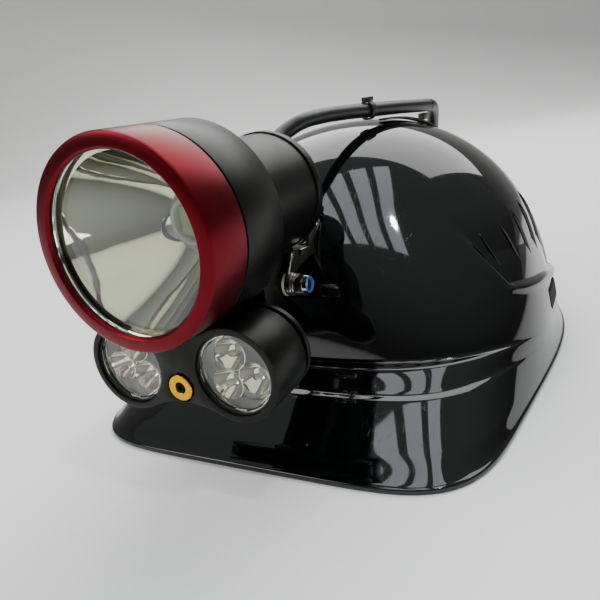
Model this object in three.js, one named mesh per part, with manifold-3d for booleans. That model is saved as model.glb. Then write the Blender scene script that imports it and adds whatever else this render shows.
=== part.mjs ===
// A miner's cap lamp: a round main lamp and a twin side lamp on one tilting body, carried by a folded
// steel bracket on the front of a hard hat, with the hat's inner harness and the lamp's battery lead.
// Millimetres. +Z is up, the lamp looks along -Y, and +X is the wearer's left.
// The origin is on the plane that the rim rests on, midway between the lamp's face and the hat's rear rim.
import * as THREE from 'three';
import { mergeVertices } from 'three/addons/utils/BufferGeometryUtils.js';
import Module from 'manifold-3d';

const wasm = await Module();
wasm.setup();

// ---------------------------------------------------------------- driving dimensions
const GAP = 0.3; // between pieces that touch

const LAMP_FACE_Y = -160; // plane of the bezel's face
const LAMP_AXIS_Z = 105; // height of the main lamp's axis above the rim plane

const SHELL = {
  centreY: 30.5, halfWidth: 107, front: 104, rear: 125, top: 126, wall: 2.6,
  crown: 2.2, // exponent of the upright outline
  sectors: 52,
  junctionFront: 28, junctionRear: 10, // where the dome meets the flange, above the rim
};
const RIM = { halfWidth: 110, front: 152.5, rear: 129.5, edge: 2.6, land: 2.2, taper: 0.085 };

const HEAD = { radius: 35, opening: 29.5, lipDepth: 1.6, ringRear: 18.4, rear: 42, joint: 0.8 };
const NECK = { radius: 25, wall: 3, rear: 88.7 };
const REAR_CAP = { radius: 25.8, front: 89, rear: 94 };
const LENS = { radius: 31.2, front: 3.4, rear: 6 };
const REFLECTOR = { mouth: 28.8, front: 6.3, vertex: 43.4, focus: 5.7, opening: 9.4, wall: 0.8 };

const TWIN = {
  z: -47.6, front: 13.3, rear: 38, radius: 17.3, spacing: 22.9, waist: 12.1,
  lens: 14.7, recess: 1, washerZ: -6.3, washerRadius: 4.9,
};

const PIVOT = { y: 77.8, z: -37.2, eye: 5, bolt: 2.5 };
const ARM = { inner: 12, outer: 13.5 };
const LUG_HALF = 10.4;

const GLAND = { y: 94, z: 14, tilt: 25, nutRadius: 6.8, nutLength: 10.5 };
const BUTTON = { z: -9, radius: 5.5, bore: 5.9, proud: 2.2 };
const CABLE = { radius: 3.6, sides: 8 };
const COIL = { x: -30, y: 232, mean: 40, half: 7.6, low: 0.1, high: 14.2 };
const PLUG = { radius: 8, length: 34, nose: 5.5, noseLength: 9, turn: 83, start: [-86.6, 285.05, 8.15] };
const STRIP = { halfWidth: 2.4, wall: 1, from: 12, to: 64 };

const BAND = { centreY: 33, halfWidth: 79, halfLength: 92, wall: 1.8, low: 12, high: 42 };
const KNOB = { radius: 14, z: 24, teeth: 14 };

const ROUND = 36; // segments of a large turned piece
const SMALL = 16; // segments of a small one

// ---------------------------------------------------------------- materials
const paint = (color, roughness, metalness) =>
  new THREE.MeshStandardMaterial({ color, roughness, metalness });
const redAnodised = paint(0xa8152b, 0.35, 0.9);
const blackAnodised = paint(0x1b1c1e, 0.5, 0.85);
const polishedSteel = paint(0xc9c9c6, 0.18, 1);
const mirror = paint(0xe4e2dc, 0.04, 1);
const glass = paint(0xdfeaea, 0.05, 0);
const opticClear = paint(0xe6ecef, 0.06, 0);
const glossBlack = paint(0x0d0e10, 0.12, 0);
const mattBlack = paint(0x1d1d1f, 0.6, 0);
const smokedPlastic = paint(0x5c5348, 0.35, 0);
const rubber = paint(0x17181a, 0.75, 0);
const aluminium = paint(0xb4b6b8, 0.4, 1);
const circuitBoard = paint(0xd8dcd2, 0.5, 0);
const phosphor = paint(0xd9cf6a, 0.55, 0);
const gold = paint(0xe0a91c, 0.3, 0.9);
const blueNylon = paint(0x2f63c8, 0.45, 0);
const webbing = paint(0x2a2b2d, 0.9, 0);
const foam = paint(0x232426, 0.95, 0);
const paleNylon = paint(0xe9e6dc, 0.5, 0);

// ---------------------------------------------------------------- solids
// A closed geometry as a solid with its faces pointing out.
function solid(geometry) {
  const bare = geometry.index ? geometry.toNonIndexed() : geometry.clone();
  bare.deleteAttribute('normal');
  bare.deleteAttribute('uv');
  const merged = mergeVertices(bare, 1e-4);
  const index = merged.index.array;
  const build = (flip) => {
    const triVerts = [];
    for (let i = 0; i < index.length; i += 3) {
      const [a, b, c] = [index[i], index[i + 1], index[i + 2]];
      if (a !== b && b !== c && c !== a) triVerts.push(a, flip ? c : b, flip ? b : c);
    }
    return new wasm.Manifold(new wasm.Mesh({
      numProp: 3,
      vertProperties: new Float32Array(merged.attributes.position.array),
      triVerts: new Uint32Array(triVerts),
    }));
  };
  const made = build(false);
  return made.volume() < 0 ? build(true) : made;
}

function geometryOf(body) {
  const made = body.getMesh();
  const geometry = new THREE.BufferGeometry();
  geometry.setAttribute('position', new THREE.BufferAttribute(new Float32Array(made.vertProperties), 3));
  geometry.setIndex(new THREE.BufferAttribute(new Uint32Array(made.triVerts), 1));
  geometry.computeVertexNormals();
  return geometry;
}

// Adds a named piece to a group.
function piece(group, name, body, material) {
  const mesh = new THREE.Mesh(geometryOf(body), material.clone());
  mesh.name = name;
  group.add(mesh);
}

// A turned piece about Y, from [radius, along] corners. It closes on itself.
function turned(corners, segments = ROUND) {
  const points = corners.map(([r, along]) => new THREE.Vector2(r, along));
  if (corners[0][0] > 0 || corners.at(-1)[0] > 0) points.push(points[0].clone());
  return new THREE.LatheGeometry(points, segments);
}

const alongX = (geometry) => geometry.rotateZ(-Math.PI / 2);
const alongZ = (geometry) => geometry.rotateX(Math.PI / 2);
const at = (geometry, x, y, z) => geometry.translate(x, y, z);

// A plain rod about Y from one end to the other.
const rod = (radius, from, to, segments = SMALL) =>
  turned([[0, from], [radius, from], [radius, to], [0, to]], segments);

const ring = (inner, outer, from, to, segments = SMALL) =>
  turned([[inner, from], [outer, from], [outer, to], [inner, to]], segments);

// A hexagon rod about Y, by its width across flats.
const hexagon = (flats, from, to) => rod(flats / Math.sqrt(3), from, to, 6);

function outline(points) {
  return new THREE.Shape(points.map(([x, y]) => new THREE.Vector2(x, y)));
}

// A plate drawn in X and Z, as thick as from..to along Y.
function plateXZ(shape, from, to, curveSegments = 10) {
  const depth = to - from;
  const geometry = new THREE.ExtrudeGeometry(shape, { depth, bevelEnabled: false, curveSegments });
  return geometry.rotateX(Math.PI / 2).translate(0, to, 0);
}

// A plate drawn in Y and Z, as thick as from..to along X.
function plateYZ(shape, from, to, curveSegments = 6) {
  const depth = to - from;
  const geometry = new THREE.ExtrudeGeometry(shape, { depth, bevelEnabled: false, curveSegments });
  const turn = new THREE.Matrix4().makeBasis(
    new THREE.Vector3(0, 1, 0), new THREE.Vector3(0, 0, 1), new THREE.Vector3(1, 0, 0));
  return geometry.applyMatrix4(turn).translate(from, 0, 0);
}

// A round cord along hand-placed points.
function cord(points, radius, steps, sides = CABLE.sides) {
  const path = new THREE.CatmullRomCurve3(points.map((p) => new THREE.Vector3(...p)), false, 'centripetal');
  const section = new THREE.Shape(Array.from({ length: sides }, (_, i) => {
    const angle = (2 * Math.PI * i) / sides;
    return new THREE.Vector2(radius * Math.cos(angle), radius * Math.sin(angle));
  }));
  return new THREE.ExtrudeGeometry(section, { steps, extrudePath: path, bevelEnabled: false });
}

// ---------------------------------------------------------------- hard hat
const root = new THREE.Group();
const helmet = new THREE.Group();
const lamp = new THREE.Group();
lamp.position.set(0, LAMP_FACE_Y, LAMP_AXIS_Z);
root.add(helmet, lamp);

const smooth = (x, from, to) => THREE.MathUtils.smoothstep(x, from, to);

// Distance from the middle to a superellipse, at an angle from straight ahead.
function reach(theta, halfWidth, front, rear, power) {
  const across = Math.abs(Math.sin(theta)) / halfWidth;
  const along = Math.abs(Math.cos(theta)) / (Math.cos(theta) > 0 ? front : rear);
  return (across ** power + along ** power) ** (-1 / power);
}

// The dome's skin at a height, moved in by inset. It is round at the top and squarer in front below.
function domeRadius(theta, z, inset) {
  const share = THREE.MathUtils.clamp(z / (SHELL.top - inset), 0, 1);
  const scale = (1 - share ** SHELL.crown) ** (1 / SHELL.crown);
  const power = Math.cos(theta) > 0 ? 2 + 1.6 * smooth(-z, -90, 0) : 2;
  return scale * reach(theta, SHELL.halfWidth - inset, SHELL.front - inset, SHELL.rear - inset, power);
}

const junctionHeight = (theta) =>
  SHELL.junctionRear + (SHELL.junctionFront - SHELL.junctionRear) * smooth(Math.cos(theta), -0.25, 0.75);

// A point of the hat's skin. Part 'dome' runs from the crown (0) to the junction (1), and part 'flange' on
// to the rim.
function shellPoint(row, theta) {
  const low = junctionHeight(theta);
  const inset = row.inner ? SHELL.wall : 0;
  const crown = SHELL.top - inset;
  const joint = low - 0.9 * inset;
  const point = (radius, z) => {
    const ahead = -radius * Math.cos(theta);
    return new THREE.Vector3(radius * Math.sin(theta), SHELL.centreY + ahead, z);
  };
  if (row.part === 'dome') {
    const start = Math.asin((joint / crown) ** (SHELL.crown / 2));
    const turn = Math.PI / 2 - (Math.PI / 2 - start) * row.along;
    const z = crown * Math.sin(turn) ** (2 / SHELL.crown);
    return point(row.along === 0 ? 0 : domeRadius(theta, z, inset), z);
  }
  const from = point(domeRadius(theta, joint, inset), joint);
  const power = Math.cos(theta) > 0 ? 6 : 2.1;
  const land = row.inner ? RIM.land : 0;
  const edge = reach(theta, RIM.halfWidth - land, RIM.front - land, RIM.rear - land, power);
  const to = point(edge, row.inner || row.foot ? 0 : RIM.edge);
  const ahead = SHELL.centreY - to.y;
  to.x *= 1 - RIM.taper * smooth(ahead, 0, 115);
  return from.lerp(to, row.along);
}

function shell() {
  const dome = [0, 0.14, 0.28, 0.42, 0.56, 0.7, 0.84, 1];
  const flange = [0.5, 1];
  const rows = [
    ...dome.map((along) => ({ part: 'dome', along })),
    ...flange.map((along) => ({ part: 'flange', along })),
    { part: 'flange', along: 1, foot: true },
    ...flange.toReversed().map((along) => ({ part: 'flange', along, inner: true })),
    ...dome.toReversed().map((along) => ({ part: 'dome', along, inner: true })),
  ];
  const stub = rows.map((row, i) => new THREE.Vector2(row.along || row.part === 'flange' ? 1 : 0, i));
  const geometry = new THREE.LatheGeometry(stub, SHELL.sectors);
  const position = geometry.getAttribute('position');
  const uv = geometry.getAttribute('uv');
  const sector = (2 * Math.PI) / SHELL.sectors;
  for (let i = 0; i < position.count; i += 1) {
    const theta = (Math.round(uv.getX(i) * SHELL.sectors) % SHELL.sectors) * sector;
    const row = rows[Math.round(uv.getY(i) * (rows.length - 1))];
    position.setXYZ(i, ...shellPoint(row, theta).toArray());
  }
  return geometry;
}

// Two screws hold the bracket's plate to the front of the dome, square to the plate. The plate's corners are
// [y, z] in the lamp's frame.
const PLATE = {
  low: [102, -30.3], high: [110.8, -17.4], innerLow: [100.7, -29.4], innerHigh: [109.5, -16.5],
};
const plateLean = Math.atan2(PLATE.high[0] - PLATE.low[0], PLATE.high[1] - PLATE.low[1]);
const plateMiddle = [(PLATE.low[0] + PLATE.high[0]) / 2, (PLATE.low[1] + PLATE.high[1]) / 2];
const SCREW = { radius: 2, hole: 2.3 };
const SCREW_SIDE = 5.2;

// Puts a piece made about Y, with its head end at y = 0, square through the plate at one side of the middle.
function throughPlate(geometry, side) {
  geometry.rotateX(-plateLean);
  return at(geometry, side * SCREW_SIDE, LAMP_FACE_Y + plateMiddle[0], LAMP_AXIS_Z + plateMiddle[1]);
}

let hat = solid(shell());
const screwHole = (side) => throughPlate(rod(SCREW.hole, -8, 20, 12), side);
for (const side of [-1, 1]) hat = hat.subtract(solid(screwHole(side)));
piece(helmet, 'helmet_shell', hat, glossBlack);

// ---------------------------------------------------------------- inner harness
function oval(halfWidth, halfLength, curve = THREE.Shape) {
  return new curve().absellipse(0, 0, halfWidth, halfLength, 0, 2 * Math.PI, false);
}

function bandSolid() {
  const shape = oval(BAND.halfWidth, BAND.halfLength);
  shape.holes.push(oval(BAND.halfWidth - BAND.wall, BAND.halfLength - BAND.wall, THREE.Path));
  const depth = BAND.high - BAND.low;
  const geometry = new THREE.ExtrudeGeometry(shape, { depth, bevelEnabled: false, curveSegments: 24 });
  return at(geometry, 0, BAND.centreY, BAND.low);
}
piece(helmet, 'headband', solid(bandSolid()), mattBlack);

// The sweatband lines the front of the headband.
function sweatband() {
  const outer = BAND.wall + GAP;
  const inner = outer + 3;
  const from = 1.17 * Math.PI;
  const to = 1.83 * Math.PI;
  const shape = new THREE.Shape();
  shape.absellipse(0, 0, BAND.halfWidth - outer, BAND.halfLength - outer, from, to, false);
  shape.absellipse(0, 0, BAND.halfWidth - inner, BAND.halfLength - inner, to, from, true);
  const depth = BAND.high - BAND.low - 2;
  const geometry = new THREE.ExtrudeGeometry(shape, { depth, bevelEnabled: false, curveSegments: 14 });
  return at(geometry, 0, BAND.centreY, BAND.low + 1);
}
piece(helmet, 'sweatband', solid(sweatband()), foam);

// Four keys stand between the headband and the shell; each webbing strap springs from two opposite keys.
const KEY_ANGLE = Math.PI / 4;
const KEY = { width: 20, from: 88.6, to: 93, low: 14, high: 43.7 };
const STRAP = { width: 18, wall: 1.5, foot: 44, rise: 46, span: 91.4 };

function keySolid(angle) {
  const geometry = new THREE.BoxGeometry(KEY.width, KEY.to - KEY.from, KEY.high - KEY.low);
  at(geometry, 0, -(KEY.from + KEY.to) / 2, (KEY.low + KEY.high) / 2);
  return at(geometry.rotateZ(angle), 0, BAND.centreY, 0);
}

function strapSolid(angle, lift) {
  const shape = new THREE.Shape();
  shape.absellipse(0, 0, STRAP.span, STRAP.rise + lift, 0, Math.PI, false);
  shape.absellipse(0, 0, STRAP.span - STRAP.wall, STRAP.rise + lift - STRAP.wall, Math.PI, 0, true);
  const geometry = plateXZ(shape, -STRAP.width / 2, STRAP.width / 2, 18);
  return at(geometry.rotateZ(angle), 0, BAND.centreY, STRAP.foot);
}

['front_left', 'rear_left', 'rear_right', 'front_right'].forEach((where, i) => {
  piece(helmet, 'key_' + where, solid(keySolid(KEY_ANGLE + (i * Math.PI) / 2)), mattBlack);
});
piece(helmet, 'crown_strap_lower', solid(strapSolid(KEY_ANGLE, 0)), webbing);
piece(helmet, 'crown_strap_upper', solid(strapSolid(-KEY_ANGLE, STRAP.wall + GAP)), webbing);

// Size adjuster at the nape: a housing behind the headband, and a ratchet knob that turns in it.
const NAPE = { halfWidth: 30, from: 126.6, to: 133, halfHeight: 14 };
const napeShape = new THREE.Shape();
napeShape.absarc(-NAPE.halfWidth + 8, 0, NAPE.halfHeight - 3, Math.PI / 2, 1.5 * Math.PI, false);
napeShape.absarc(0, 0, NAPE.halfHeight, -0.72 * Math.PI, -0.28 * Math.PI, false);
napeShape.absarc(NAPE.halfWidth - 8, 0, NAPE.halfHeight - 3, -Math.PI / 2, Math.PI / 2, false);
napeShape.absarc(0, 0, NAPE.halfHeight, 0.28 * Math.PI, 0.72 * Math.PI, false);
const napeHousing = solid(at(plateXZ(napeShape, NAPE.from, NAPE.to), 0, 0, KNOB.z))
  .subtract(solid(at(rod(4.4, NAPE.from + 2, NAPE.to + 2, 20), 0, 0, KNOB.z)));
piece(helmet, 'nape_housing', napeHousing, mattBlack);

const knobOutline = outline(Array.from({ length: 4 * KNOB.teeth }, (_, i) => {
  const angle = (2 * Math.PI * i) / (4 * KNOB.teeth);
  const radius = KNOB.radius - 0.5 + 0.5 * Math.cos(KNOB.teeth * angle);
  return [radius * Math.cos(angle), radius * Math.sin(angle)];
}));
const knob = solid(plateXZ(knobOutline, NAPE.to + GAP, NAPE.to + 9.3))
  .add(solid(rod(4, NAPE.from + 2.5, NAPE.to + 2, 20)));
piece(helmet, 'ratchet_knob', knob.translate([0, 0, KNOB.z]), mattBlack);

// ---------------------------------------------------------------- bracket and pivot, in the lamp's frame
const mount = new THREE.Group();
mount.position.copy(lamp.position);
root.add(mount);

// One side of the bracket: it lies along the dome, steps down behind the neck and runs forward to the eye.
function sideFlange(from, to) {
  const shape = new THREE.Shape();
  shape.moveTo(...PLATE.high);
  shape.lineTo(98.4, -21);
  shape.lineTo(97.3, -25.9);
  shape.lineTo(90, -25.3);
  shape.lineTo(89.4, -27.6);
  shape.lineTo(87, -27.6);
  shape.lineTo(86.8, -24.4);
  shape.lineTo(80.5, -24.1);
  shape.lineTo(80.2, -26);
  shape.absarc(PIVOT.y, PIVOT.z, PIVOT.eye, 0.75 * Math.PI, 2.3 * Math.PI, false);
  shape.lineTo(95, -30.2);
  shape.lineTo(...PLATE.low);
  return plateYZ(shape, from, to);
}

function bracketSolid() {
  const corners = [PLATE.high, PLATE.low, PLATE.innerLow, PLATE.innerHigh];
  const back = plateYZ(outline(corners), -ARM.outer, ARM.outer);
  let body = solid(back);
  body = body.add(solid(sideFlange(ARM.inner, ARM.outer)));
  body = body.add(solid(sideFlange(-ARM.outer, -ARM.inner)));
  body = body.subtract(solid(at(alongX(rod(PIVOT.bolt + GAP, -20, 20, 14)), 0, PIVOT.y, PIVOT.z)));
  for (const side of [-1, 1]) {
    body = body.subtract(solid(at(screwHole(side), 0, -LAMP_FACE_Y, -LAMP_AXIS_Z)));
  }
  return body;
}
piece(mount, 'lamp_bracket', bracketSolid(), polishedSteel);

const SCREW_NAMES = { '-1': 'right', 1: 'left' };
for (const side of [-1, 1]) {
  const screw = turned([
    [0, -5], [3, -4.7], [3.8, -3.6], [3.8, -2.1], [SCREW.radius, -2.1], [SCREW.radius, 12], [0, 12],
  ], 14);
  const nut = solid(throughPlate(hexagon(7, 6.6, 9.8), side))
    .subtract(solid(throughPlate(rod(SCREW.hole, 6, 11, 12), side)));
  piece(helmet, 'bracket_screw_' + SCREW_NAMES[side], solid(throughPlate(screw, side)), polishedSteel);
  piece(helmet, 'bracket_nut_' + SCREW_NAMES[side], nut, polishedSteel);
}

const onPivot = (geometry) => at(alongX(geometry), 0, PIVOT.y, PIVOT.z);
const bolt = solid(onPivot(rod(PIVOT.bolt, -15.6, 21.5, 18)))
  .add(solid(onPivot(hexagon(8, -18.9, -15.4))));
piece(mount, 'pivot_bolt', bolt, polishedSteel);
piece(mount, 'washer_head', solid(onPivot(ring(2.8, 5, -15.1, -13.8, 20))), polishedSteel);
piece(mount, 'washer_plain', solid(onPivot(ring(2.8, 5, 13.8, 14.7, 20))), polishedSteel);
piece(mount, 'washer_spring', solid(onPivot(ring(2.8, 4.6, 15, 15.8, 20))), polishedSteel);
const lockNut = solid(onPivot(hexagon(8, 16.1, 19.7)))
  .add(solid(onPivot(rod(3.85, 19.4, 21.7, 20))))
  .subtract(solid(onPivot(rod(2.8, 10, 25, 18))))
  .subtract(solid(onPivot(rod(3.6, 20.4, 25, 20))));
piece(mount, 'lock_nut', lockNut, polishedSteel);
piece(mount, 'lock_nut_insert', solid(onPivot(ring(2.8, 3.3, 20.7, 21.8, 18))), blueNylon);

// ---------------------------------------------------------------- main lamp
const headWall = HEAD.radius - 2.4;
piece(lamp, 'bezel_ring', solid(turned([
  [HEAD.opening, 0.9], [HEAD.opening + 0.7, 0], [HEAD.radius - 0.8, 0], [HEAD.radius, 0.8],
  [HEAD.radius, HEAD.ringRear], [headWall, HEAD.ringRear], [headWall, 7.6],
  [31.6, 7.6], [31.6, HEAD.lipDepth], [HEAD.opening, HEAD.lipDepth],
])), redAnodised);
piece(lamp, 'bezel_seal', solid(ring(29.8, 31.3, HEAD.lipDepth + GAP, LENS.front - GAP, ROUND)), rubber);
piece(lamp, 'lens_glass', solid(rod(LENS.radius, LENS.front, LENS.rear, ROUND)), glass);

// The reflector is a paraboloid whose focus is at the emitter.
function reflectorSolid() {
  const { mouth, front, vertex, focus, opening, wall } = REFLECTOR;
  const along = (r) => vertex - (r * r) / (4 * focus);
  const radii = [0, 0.25, 0.5, 0.75, 1].map((s) => opening + (mouth - opening) * s);
  const inside = radii.map((r) => [r, along(r)]);
  const outside = radii.toReversed().map((r) => [r + wall, along(r) + wall]);
  return turned([...inside, [mouth, front], [31.2, front], [31.2, front + 1], ...outside]);
}
piece(lamp, 'reflector', solid(reflectorSolid()), mirror);
piece(lamp, 'led_ring', solid(ring(7.9, 9, 37.6, 41.3, 24)), paleNylon);
piece(lamp, 'led_emitter', solid(at(new THREE.BoxGeometry(11, 2.4, 11), 0, 40.1, 0)), phosphor);
piece(lamp, 'led_board', solid(rod(16, 41.6, 43.2, 28)), circuitBoard);

piece(lamp, 'head_housing', solid(turned([
  [headWall - GAP, 8.2], [headWall - GAP, HEAD.ringRear + GAP], [HEAD.radius - 0.5, HEAD.ringRear + GAP],
  [HEAD.radius, HEAD.ringRear + HEAD.joint], [HEAD.radius, HEAD.rear - 0.8], [HEAD.radius - 0.8, HEAD.rear],
  [21.8, HEAD.rear], [21.8, HEAD.rear - 3], [31.6, HEAD.rear - 10], [31.6, 8.2],
])), blackAnodised);
piece(lamp, 'neck_tube', solid(turned([
  [NECK.radius - NECK.wall, HEAD.rear + GAP], [NECK.radius, HEAD.rear + GAP],
  [NECK.radius, NECK.rear], [NECK.radius - NECK.wall, NECK.rear],
])), blackAnodised);
piece(lamp, 'heat_sink_pill', solid(turned([
  [0, 43.5], [21.4, 43.5], [21.4, 56], [19, 56], [19, 47], [0, 47],
], 32)), aluminium);
piece(lamp, 'driver_board', solid(rod(18, 58, 59.6, 28)), circuitBoard);

const capCore = solid(turned([
  [0, REAR_CAP.rear - 3], [19.6, REAR_CAP.rear - 3], [19.6, 84], [21.7, 84], [21.7, REAR_CAP.front],
  [REAR_CAP.radius, REAR_CAP.front], [REAR_CAP.radius, REAR_CAP.rear - 1],
  [REAR_CAP.radius - 1, REAR_CAP.rear], [0, REAR_CAP.rear],
]));
const glandAt = (geometry) => at(geometry.rotateX(THREE.MathUtils.degToRad(GLAND.tilt)), 0, GLAND.y, GLAND.z);
const buttonAt = (geometry) => at(geometry, 0, REAR_CAP.rear, BUTTON.z);
piece(lamp, 'rear_cap', capCore
  .add(solid(glandAt(rod(8, -3, 3.7, 24))))
  .subtract(solid(glandAt(rod(4.4, -12, 8, 20))))
  .subtract(solid(buttonAt(rod(BUTTON.bore, -6, 4, 24)))), blackAnodised);
piece(lamp, 'cable_gland', solid(glandAt(turned([
  [3.9, 4], [7.4, 4], [7.4, 5.6], [6.2, 6], [GLAND.nutRadius, 6.6],
  [GLAND.nutRadius, GLAND.nutLength], [5, GLAND.nutLength + 2.1], [3.9, GLAND.nutLength + 2.1],
], 24))), mattBlack);
piece(lamp, 'switch_button', solid(buttonAt(turned([
  [0, -2.7], [BUTTON.radius, -2.7], [BUTTON.radius, BUTTON.proud - 0.8], [BUTTON.radius - 1, BUTTON.proud],
  [0, BUTTON.proud],
], 24))), rubber);
piece(lamp, 'switch_module', solid(at(new THREE.BoxGeometry(12, 4, 9), 0, 88.2, BUTTON.z)), mattBlack);

// ---------------------------------------------------------------- foot: neck clamp, pivot eye, twin arm
function footSolid() {
  const shape = new THREE.Shape();
  shape.moveTo(88, -22);
  shape.lineTo(60, -22);
  shape.lineTo(60, -40);
  shape.lineTo(45.3, -46);
  shape.lineTo(45.3, -42);
  shape.lineTo(TWIN.rear + GAP, -42);
  shape.lineTo(TWIN.rear + GAP, -60);
  shape.lineTo(42.3, -60);
  shape.lineTo(45.3, -52);
  shape.lineTo(68, -45);
  shape.absarc(PIVOT.y, PIVOT.z, 7.6, 1.3 * Math.PI, 2.05 * Math.PI, false);
  shape.lineTo(88, -30);
  let body = solid(plateYZ(shape, -LUG_HALF, LUG_HALF));
  body = body.subtract(solid(rod(NECK.radius + GAP, 40, 100, ROUND)));
  body = body.subtract(solid(onPivot(rod(PIVOT.bolt + GAP, -20, 20, 20))));
  return body.subtract(solid(at(rod(1.9, 30, 50, 12), 0, 0, TWIN.z + TWIN.washerZ)));
}
piece(lamp, 'lamp_foot', footSolid(), blackAnodised);
const frictionWasher = (from, to) => solid(onPivot(ring(2.8, PIVOT.eye, from, to, 20)));
piece(lamp, 'friction_washer_left', frictionWasher(LUG_HALF + GAP, ARM.inner - GAP), paleNylon);
piece(lamp, 'friction_washer_right', frictionWasher(GAP - ARM.inner, -LUG_HALF - GAP), paleNylon);

// ---------------------------------------------------------------- twin lamp
const twin = new THREE.Group();
twin.position.set(0, TWIN.front, TWIN.z);
lamp.add(twin);
const twinDepth = TWIN.rear - TWIN.front;

// Two round barrels joined by a web whose edges curve in a little.
function twinOutline(inset) {
  const barrel = TWIN.radius - inset;
  const { spacing, waist } = TWIN;
  const w = waist - inset;
  const sweep = (spacing ** 2 + w ** 2 - barrel ** 2) / (2 * (barrel - w));
  const height = w + sweep;
  const meet = Math.atan2(height, spacing);
  const shape = new THREE.Shape();
  shape.absarc(spacing, 0, barrel, meet - Math.PI, Math.PI - meet, false);
  shape.absarc(0, height, sweep, -meet, -Math.PI + meet, true);
  shape.absarc(-spacing, 0, barrel, meet, 2 * Math.PI - meet, false);
  shape.absarc(0, -height, sweep, Math.PI - meet, meet, true);
  return shape;
}

const onBarrels = (geometry) => [-1, 1].map((side) => at(geometry.clone(), side * TWIN.spacing, 0, 0));
let twinBody = solid(plateXZ(twinOutline(0), 0, twinDepth - 2.3, 14));
for (const bore of onBarrels(rod(TWIN.lens + 0.2, -1, 17, 32))) twinBody = twinBody.subtract(solid(bore));
for (const bore of onBarrels(rod(12.6, 16, 30, 24))) twinBody = twinBody.subtract(solid(bore));
const washerAt = (geometry) => at(geometry, 0, 0, TWIN.washerZ);
twinBody = twinBody.subtract(solid(washerAt(rod(TWIN.washerRadius + 0.7, -2, 0.8, 24))));
twinBody = twinBody.subtract(solid(washerAt(rod(2.2, -2, 30, 16))));
piece(twin, 'twin_housing', twinBody, blackAnodised);

const cover = solid(plateXZ(twinOutline(0.4), twinDepth - 2, twinDepth, 14))
  .subtract(solid(washerAt(rod(2.2, 0, 30, 16))));
piece(twin, 'twin_rear_cover', cover, blackAnodised);

const SIDES = [['right', -1], ['left', 1]];
for (const [where, side] of SIDES) {
  const place = (geometry) => solid(at(geometry, side * TWIN.spacing, 0, 0));
  piece(twin, 'twin_optic_' + where, place(turned([
    [0, 2], [TWIN.lens - 0.6, 2], [TWIN.lens - 0.1, 2.4], [TWIN.lens - 0.1, 4], [12.4, 9.5], [0, 9.5],
  ], 32)), opticClear);
  piece(twin, 'twin_seal_' + where, place(ring(13.4, TWIN.lens - 0.1, TWIN.recess, 1.7, 32)), rubber);
  piece(twin, 'twin_led_board_' + where, place(rod(12.2, 9.9, 11.5, 24)), circuitBoard);
}
piece(twin, 'twin_washer', solid(washerAt(ring(2.2, TWIN.washerRadius, -0.7, 0.5, 24))), gold);
const socket = rod(1.1, -2, 0.9, 6);
piece(twin, 'twin_screw', solid(washerAt(rod(1.8, -0.6, 33, 14)))
  .subtract(solid(washerAt(socket))), mattBlack);

// ---------------------------------------------------------------- cable and what holds it on the crown
// From the gland over the crown to the post.
const CABLE_ROUTE = [
  [0, -54.2, 124.6], [0.7, -49, 127.2], [2.6, -43.5, 129.4], [5, -38.3, 131.1], [8.8, -24.5, 132.2],
  [13.9, -6.3, 132], [19, 11.9, 131.2], [26.1, 35.5, 130.2], [31.6, 55, 129], [34.4, 69, 128.3],
];
// From the post down the back of the hat, round onto the floor and up to the coil.
const LEAD_ROUTE = [
  [34.5, 69.5, 128.27], [34.7, 73.6, 127.9], [34.2, 79.5, 126.5], [32.6, 86.8, 123.1], [30, 95, 117.9],
  [27.4, 103.8, 110.9], [25.3, 115, 100.9], [23.8, 127, 88.4], [22.3, 137, 75.5], [21, 146, 60],
  [19.9, 152.8, 45],
  [19.2, 156.8, 32.7], [18.4, 159.9, 20.4], [17.2, 167.6, 10.5], [15.7, 178.5, 4.9], [14.6, 188, 3.75],
  [14, 203.5, 3.75],
];
// From the coil's far side down to the plug.
const TAIL_ROUTE = [
  [-52, 279, 9.6], [-60, 281.4, 8], [-68, 283, 5.2], [-76, 284, 5.4], [-81, 284.5, 7.6], [-86, 285, 8.15],
];

const cableTube = (route, steps) => solid(cord(route, CABLE.radius, steps));
piece(root, 'lamp_cable', cableTube(CABLE_ROUTE, 20), rubber);
piece(root, 'battery_lead', cableTube(LEAD_ROUTE, 30), rubber);
piece(root, 'lead_tail', cableTube(TAIL_ROUTE, 6), rubber);
const coilRing = ring(COIL.mean - COIL.half, COIL.mean + COIL.half, COIL.low, COIL.high, 28);
piece(root, 'lead_coil', solid(at(alongZ(coilRing), COIL.x, COIL.y, 0)), rubber);
const plug = turned([
  [0, 0], [4.6, 0], [PLUG.radius, 5], [PLUG.radius, PLUG.length], [PLUG.nose, PLUG.length],
  [PLUG.nose, PLUG.length + PLUG.noseLength], [0, PLUG.length + PLUG.noseLength],
], 20);
const plugAt = (geometry) => at(geometry.rotateZ(THREE.MathUtils.degToRad(PLUG.turn)), ...PLUG.start);
piece(root, 'lead_plug', solid(plugAt(plug)), mattBlack);

// Height of the dome's skin over a point of the plan, on its round upper part.
function domeHeight(x, y) {
  const length = y < SHELL.centreY ? SHELL.front : SHELL.rear;
  const share = Math.hypot(x / SHELL.halfWidth, (y - SHELL.centreY) / length);
  return SHELL.top * (1 - share ** SHELL.crown) ** (1 / SHELL.crown);
}

// The cable crosses the crown in an upright plane, turned a little to the wearer's left.
const TIE = CABLE_ROUTE[6];
const POST = CABLE_ROUTE.at(-1);
const crossing = Math.atan2(POST[0] - TIE[0], POST[1] - TIE[1]);
const overCrown = (geometry) => at(geometry.rotateZ(-crossing), TIE[0], TIE[1], 0);

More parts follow.
